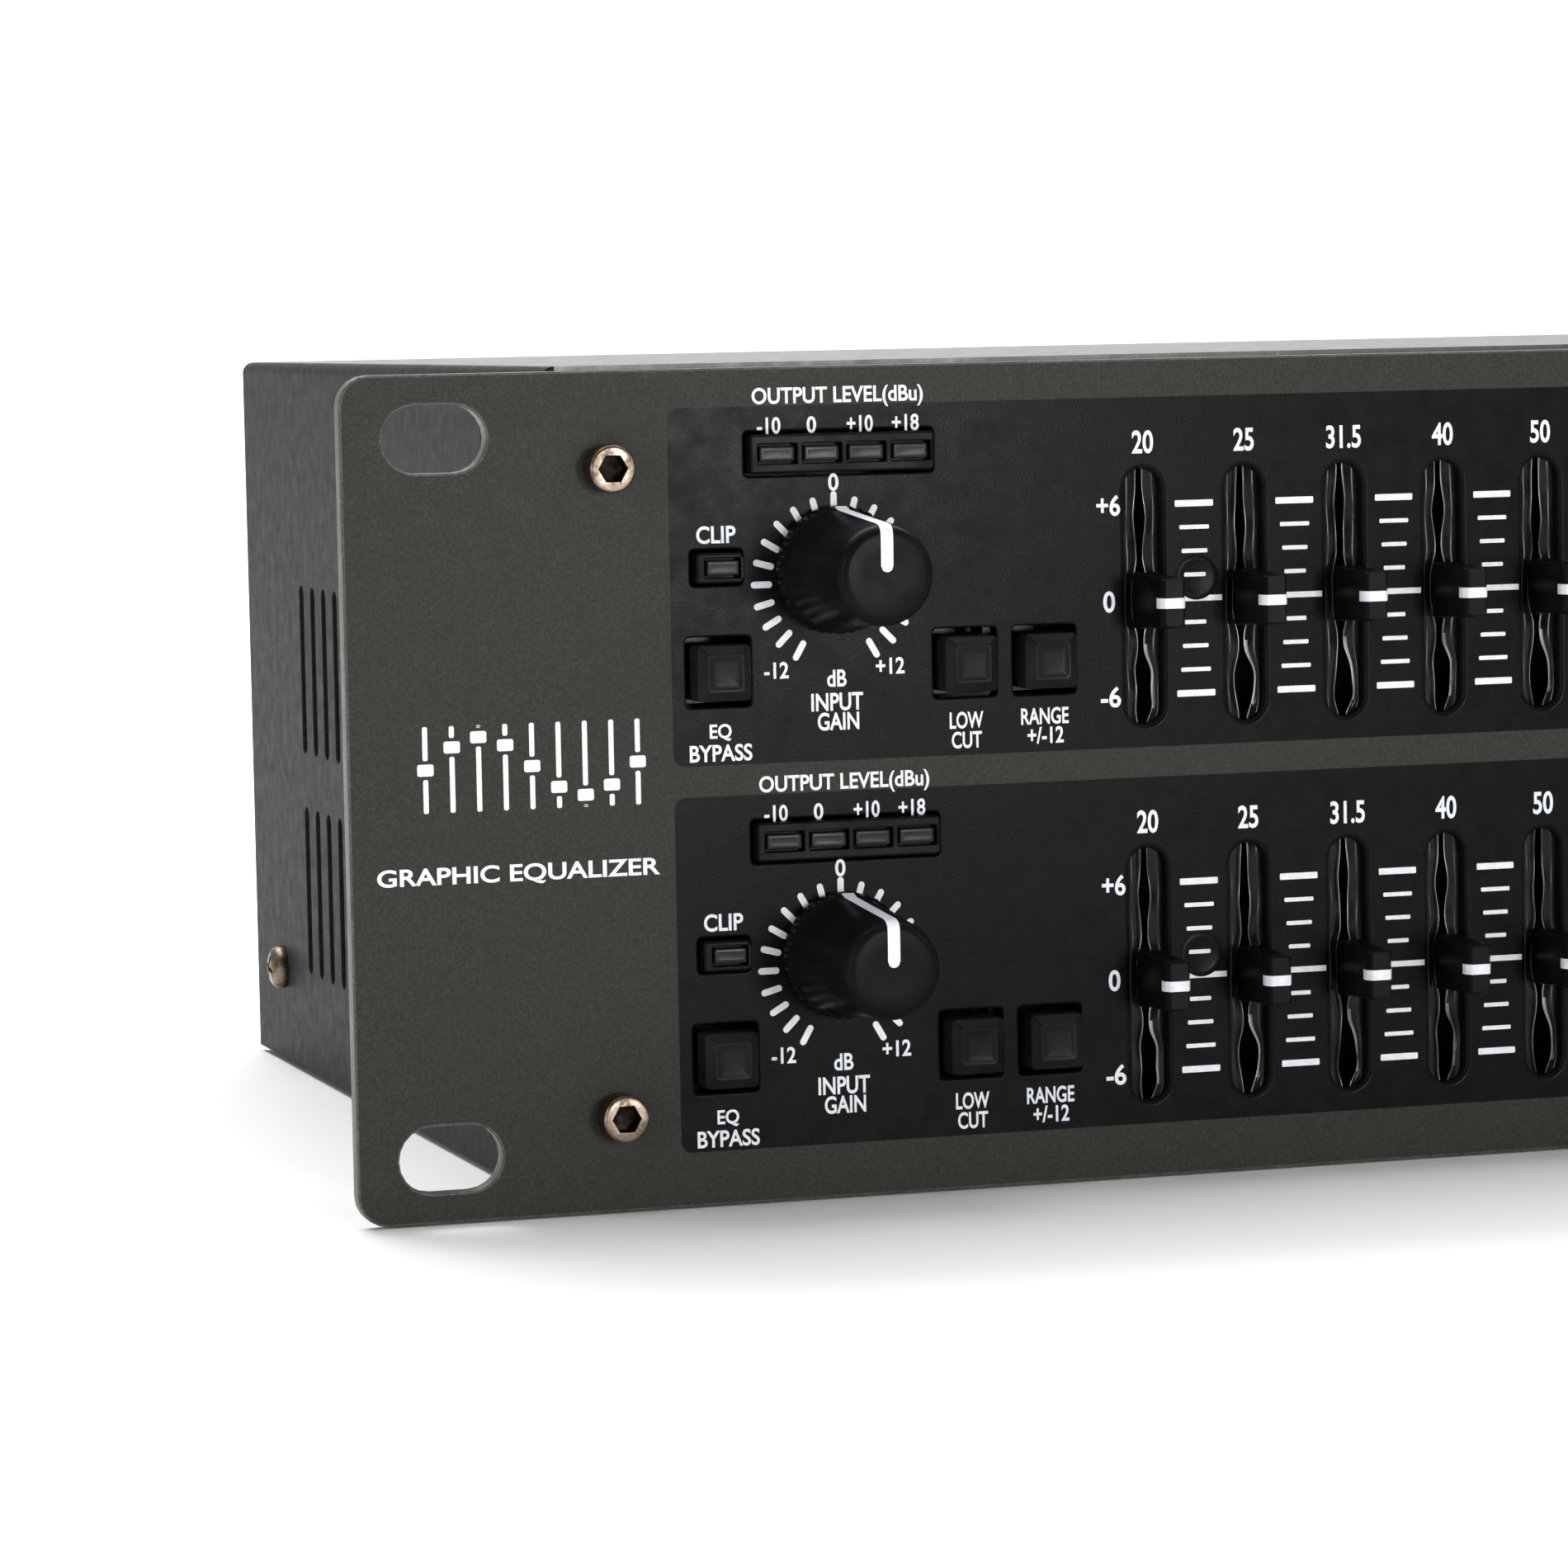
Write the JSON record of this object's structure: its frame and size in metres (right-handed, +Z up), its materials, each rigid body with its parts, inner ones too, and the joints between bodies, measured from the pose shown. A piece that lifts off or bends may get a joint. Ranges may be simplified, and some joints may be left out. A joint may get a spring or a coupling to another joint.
{
  "type": "graphic equalizer",
  "caption": "Two-channel third-octave graphic equalizer in a two-unit rack case, with slide faders, gain knobs, push buttons, level lamps and rear sockets.",
  "frame": {"origin": "bottom centre of the object's box: the middle of its width, the middle of its depth from knob face to jack sockets, and the panel's lower edge", "axes": "+X to the right of someone facing the panel, +Y from the panel to the rear, +Z up"},
  "size_m": [0.4826, 0.17, 0.0886],
  "materials": {
    "panel_paint": "fine-textured satin powder coat, dark grey-green, with darker printed fields",
    "case_paint": "satin powder coat, mid grey",
    "black_plastic": "moulded black, slight sheen",
    "button_plastic": "moulded dark grey",
    "smoked_lens": "smoked, unlit",
    "bronze_steel": "zinc and yellow-bronze passivated",
    "circuit_board": "green solder mask",
    "steel_core": "bare laminated steel"
  },
  "bodies": {
    "case": {"front_panel": "panel_paint", "top_cover": "case_paint", "chassis_tray": "case_paint", "channel_board_1": "circuit_board", "level_meter_1": "smoked_lens", "clip_lamp_1": "smoked_lens", "channel_board_2": "circuit_board", "level_meter_2": "smoked_lens", "clip_lamp_2": "smoked_lens", "panel_bolt_1": "bronze_steel", "panel_bolt_2": "bronze_steel", "panel_bolt_3": "bronze_steel", "panel_bolt_4": "bronze_steel", "side_screw_left": "bronze_steel", "side_screw_right": "bronze_steel", "main_board": "circuit_board", "mains_transformer": "steel_core", "mains_inlet": "black_plastic", "power_switch_frame": "black_plastic", "socket_board_1": "black_plastic", "socket_board_2": "black_plastic"},
    "gain_knob_1": {"gain_knob_1": "black_plastic"},
    "eq_bypass_button_1": {"eq_bypass_button_1": "button_plastic"},
    "low_cut_button_1": {"low_cut_button_1": "button_plastic"},
    "range_button_1": {"range_button_1": "button_plastic"},
    "fader_1_band_01": {"fader_1_band_01": "black_plastic"},
    "fader_1_band_02": {"fader_1_band_02": "black_plastic"},
    "fader_1_band_03": {"fader_1_band_03": "black_plastic"},
    "fader_1_band_04": {"fader_1_band_04": "black_plastic"},
    "fader_1_band_05": {"fader_1_band_05": "black_plastic"},
    "fader_1_band_06": {"fader_1_band_06": "black_plastic"},
    "fader_1_band_07": {"fader_1_band_07": "black_plastic"},
    "faders_1_bands_08_to_10": {"faders_1_bands_08_to_10": "black_plastic"},
    "faders_1_bands_11_to_13": {"faders_1_bands_11_to_13": "black_plastic"},
    "faders_1_bands_14_to_16": {"faders_1_bands_14_to_16": "black_plastic"},
    "faders_1_bands_17_to_19": {"faders_1_bands_17_to_19": "black_plastic"},
    "faders_1_bands_20_to_22": {"faders_1_bands_20_to_22": "black_plastic"},
    "faders_1_bands_23_to_25": {"faders_1_bands_23_to_25": "black_plastic"},
    "faders_1_bands_26_to_28": {"faders_1_bands_26_to_28": "black_plastic"},
    "faders_1_bands_29_to_31": {"faders_1_bands_29_to_31": "black_plastic"},
    "gain_knob_2": {"gain_knob_2": "black_plastic"},
    "eq_bypass_button_2": {"eq_bypass_button_2": "button_plastic"},
    "low_cut_button_2": {"low_cut_button_2": "button_plastic"},
    "range_button_2": {"range_button_2": "button_plastic"},
    "fader_2_band_01": {"fader_2_band_01": "black_plastic"},
    "fader_2_band_02": {"fader_2_band_02": "black_plastic"},
    "fader_2_band_03": {"fader_2_band_03": "black_plastic"},
    "fader_2_band_04": {"fader_2_band_04": "black_plastic"},
    "fader_2_band_05": {"fader_2_band_05": "black_plastic"},
    "fader_2_band_06": {"fader_2_band_06": "black_plastic"},
    "fader_2_band_07": {"fader_2_band_07": "black_plastic"},
    "faders_2_bands_08_to_10": {"faders_2_bands_08_to_10": "black_plastic"},
    "faders_2_bands_11_to_13": {"faders_2_bands_11_to_13": "black_plastic"},
    "faders_2_bands_14_to_16": {"faders_2_bands_14_to_16": "black_plastic"},
    "faders_2_bands_17_to_19": {"faders_2_bands_17_to_19": "black_plastic"},
    "faders_2_bands_20_to_22": {"faders_2_bands_20_to_22": "black_plastic"},
    "faders_2_bands_23_to_25": {"faders_2_bands_23_to_25": "black_plastic"},
    "faders_2_bands_26_to_28": {"faders_2_bands_26_to_28": "black_plastic"},
    "faders_2_bands_29_to_31": {"faders_2_bands_29_to_31": "black_plastic"},
    "power_rocker": {"power_rocker": "black_plastic"}
  },
  "joints": [
    {"name": "gain_knob_1_turn", "type": "hinge", "parent": "case", "child": "gain_knob_1", "pos_m": [-0.1883, -0.0675, 0.0667], "axis": [0, 1, 0], "range_deg": [-150, 150]},
    {"name": "eq_bypass_button_1_press", "type": "slide", "parent": "case", "child": "eq_bypass_button_1", "axis": [0, 1, 0], "range_m": [0, 0.0025], "stiffness_N_per_m": 150, "springref_m": -0.002},
    {"name": "low_cut_button_1_press", "type": "slide", "parent": "case", "child": "low_cut_button_1", "axis": [0, 1, 0], "range_m": [0, 0.0025], "stiffness_N_per_m": 150, "springref_m": -0.002},
    {"name": "range_button_1_press", "type": "slide", "parent": "case", "child": "range_button_1", "axis": [0, 1, 0], "range_m": [0, 0.0025], "stiffness_N_per_m": 150, "springref_m": -0.002},
    {"name": "fader_1_band_01_slide", "type": "slide", "parent": "case", "child": "fader_1_band_01", "axis": [0, 0, 1], "range_m": [-0.0102, 0.0102]},
    {"name": "fader_1_band_02_slide", "type": "slide", "parent": "case", "child": "fader_1_band_02", "axis": [0, 0, 1], "range_m": [-0.0102, 0.0102]},
    {"name": "fader_1_band_03_slide", "type": "slide", "parent": "case", "child": "fader_1_band_03", "axis": [0, 0, 1], "range_m": [-0.0102, 0.0102]},
    {"name": "fader_1_band_04_slide", "type": "slide", "parent": "case", "child": "fader_1_band_04", "axis": [0, 0, 1], "range_m": [-0.0102, 0.0102]},
    {"name": "fader_1_band_05_slide", "type": "slide", "parent": "case", "child": "fader_1_band_05", "axis": [0, 0, 1], "range_m": [-0.0102, 0.0102]},
    {"name": "fader_1_band_06_slide", "type": "slide", "parent": "case", "child": "fader_1_band_06", "axis": [0, 0, 1], "range_m": [-0.0102, 0.0102]},
    {"name": "fader_1_band_07_slide", "type": "slide", "parent": "case", "child": "fader_1_band_07", "axis": [0, 0, 1], "range_m": [-0.0102, 0.0102]},
    {"name": "faders_1_bands_08_to_10_slide", "type": "slide", "parent": "case", "child": "faders_1_bands_08_to_10", "axis": [0, 0, 1], "range_m": [-0.0102, 0.0102]},
    {"name": "faders_1_bands_11_to_13_slide", "type": "slide", "parent": "case", "child": "faders_1_bands_11_to_13", "axis": [0, 0, 1], "range_m": [-0.0102, 0.0102]},
    {"name": "faders_1_bands_14_to_16_slide", "type": "slide", "parent": "case", "child": "faders_1_bands_14_to_16", "axis": [0, 0, 1], "range_m": [-0.0102, 0.0102]},
    {"name": "faders_1_bands_17_to_19_slide", "type": "slide", "parent": "case", "child": "faders_1_bands_17_to_19", "axis": [0, 0, 1], "range_m": [-0.0102, 0.0102]},
    {"name": "faders_1_bands_20_to_22_slide", "type": "slide", "parent": "case", "child": "faders_1_bands_20_to_22", "axis": [0, 0, 1], "range_m": [-0.0102, 0.0102]},
    {"name": "faders_1_bands_23_to_25_slide", "type": "slide", "parent": "case", "child": "faders_1_bands_23_to_25", "axis": [0, 0, 1], "range_m": [-0.0102, 0.0102]},
    {"name": "faders_1_bands_26_to_28_slide", "type": "slide", "parent": "case", "child": "faders_1_bands_26_to_28", "axis": [0, 0, 1], "range_m": [-0.0102, 0.0102]},
    {"name": "faders_1_bands_29_to_31_slide", "type": "slide", "parent": "case", "child": "faders_1_bands_29_to_31", "axis": [0, 0, 1], "range_m": [-0.0102, 0.0102]},
    {"name": "gain_knob_2_turn", "type": "hinge", "parent": "case", "child": "gain_knob_2", "pos_m": [-0.1883, -0.0675, 0.02595], "axis": [0, 1, 0], "range_deg": [-150, 150]},
    {"name": "eq_bypass_button_2_press", "type": "slide", "parent": "case", "child": "eq_bypass_button_2", "axis": [0, 1, 0], "range_m": [0, 0.0025], "stiffness_N_per_m": 150, "springref_m": -0.002},
    {"name": "low_cut_button_2_press", "type": "slide", "parent": "case", "child": "low_cut_button_2", "axis": [0, 1, 0], "range_m": [0, 0.0025], "stiffness_N_per_m": 150, "springref_m": -0.002},
    {"name": "range_button_2_press", "type": "slide", "parent": "case", "child": "range_button_2", "axis": [0, 1, 0], "range_m": [0, 0.0025], "stiffness_N_per_m": 150, "springref_m": -0.002},
    {"name": "fader_2_band_01_slide", "type": "slide", "parent": "case", "child": "fader_2_band_01", "axis": [0, 0, 1], "range_m": [-0.0102, 0.0102]},
    {"name": "fader_2_band_02_slide", "type": "slide", "parent": "case", "child": "fader_2_band_02", "axis": [0, 0, 1], "range_m": [-0.0102, 0.0102]},
    {"name": "fader_2_band_03_slide", "type": "slide", "parent": "case", "child": "fader_2_band_03", "axis": [0, 0, 1], "range_m": [-0.0102, 0.0102]},
    {"name": "fader_2_band_04_slide", "type": "slide", "parent": "case", "child": "fader_2_band_04", "axis": [0, 0, 1], "range_m": [-0.0102, 0.0102]},
    {"name": "fader_2_band_05_slide", "type": "slide", "parent": "case", "child": "fader_2_band_05", "axis": [0, 0, 1], "range_m": [-0.0102, 0.0102]},
    {"name": "fader_2_band_06_slide", "type": "slide", "parent": "case", "child": "fader_2_band_06", "axis": [0, 0, 1], "range_m": [-0.0102, 0.0102]},
    {"name": "fader_2_band_07_slide", "type": "slide", "parent": "case", "child": "fader_2_band_07", "axis": [0, 0, 1], "range_m": [-0.0102, 0.0102]},
    {"name": "faders_2_bands_08_to_10_slide", "type": "slide", "parent": "case", "child": "faders_2_bands_08_to_10", "axis": [0, 0, 1], "range_m": [-0.0102, 0.0102]},
    {"name": "faders_2_bands_11_to_13_slide", "type": "slide", "parent": "case", "child": "faders_2_bands_11_to_13", "axis": [0, 0, 1], "range_m": [-0.0102, 0.0102]},
    {"name": "faders_2_bands_14_to_16_slide", "type": "slide", "parent": "case", "child": "faders_2_bands_14_to_16", "axis": [0, 0, 1], "range_m": [-0.0102, 0.0102]},
    {"name": "faders_2_bands_17_to_19_slide", "type": "slide", "parent": "case", "child": "faders_2_bands_17_to_19", "axis": [0, 0, 1], "range_m": [-0.0102, 0.0102]},
    {"name": "faders_2_bands_20_to_22_slide", "type": "slide", "parent": "case", "child": "faders_2_bands_20_to_22", "axis": [0, 0, 1], "range_m": [-0.0102, 0.0102]},
    {"name": "faders_2_bands_23_to_25_slide", "type": "slide", "parent": "case", "child": "faders_2_bands_23_to_25", "axis": [0, 0, 1], "range_m": [-0.0102, 0.0102]},
    {"name": "faders_2_bands_26_to_28_slide", "type": "slide", "parent": "case", "child": "faders_2_bands_26_to_28", "axis": [0, 0, 1], "range_m": [-0.0102, 0.0102]},
    {"name": "faders_2_bands_29_to_31_slide", "type": "slide", "parent": "case", "child": "faders_2_bands_29_to_31", "axis": [0, 0, 1], "range_m": [-0.0102, 0.0102]},
    {"name": "power_rocker_tip", "type": "hinge", "parent": "case", "child": "power_rocker", "pos_m": [0.146, 0.0805, 0.044], "axis": [1, 0, 0], "range_deg": [0, 18]}
  ]
}
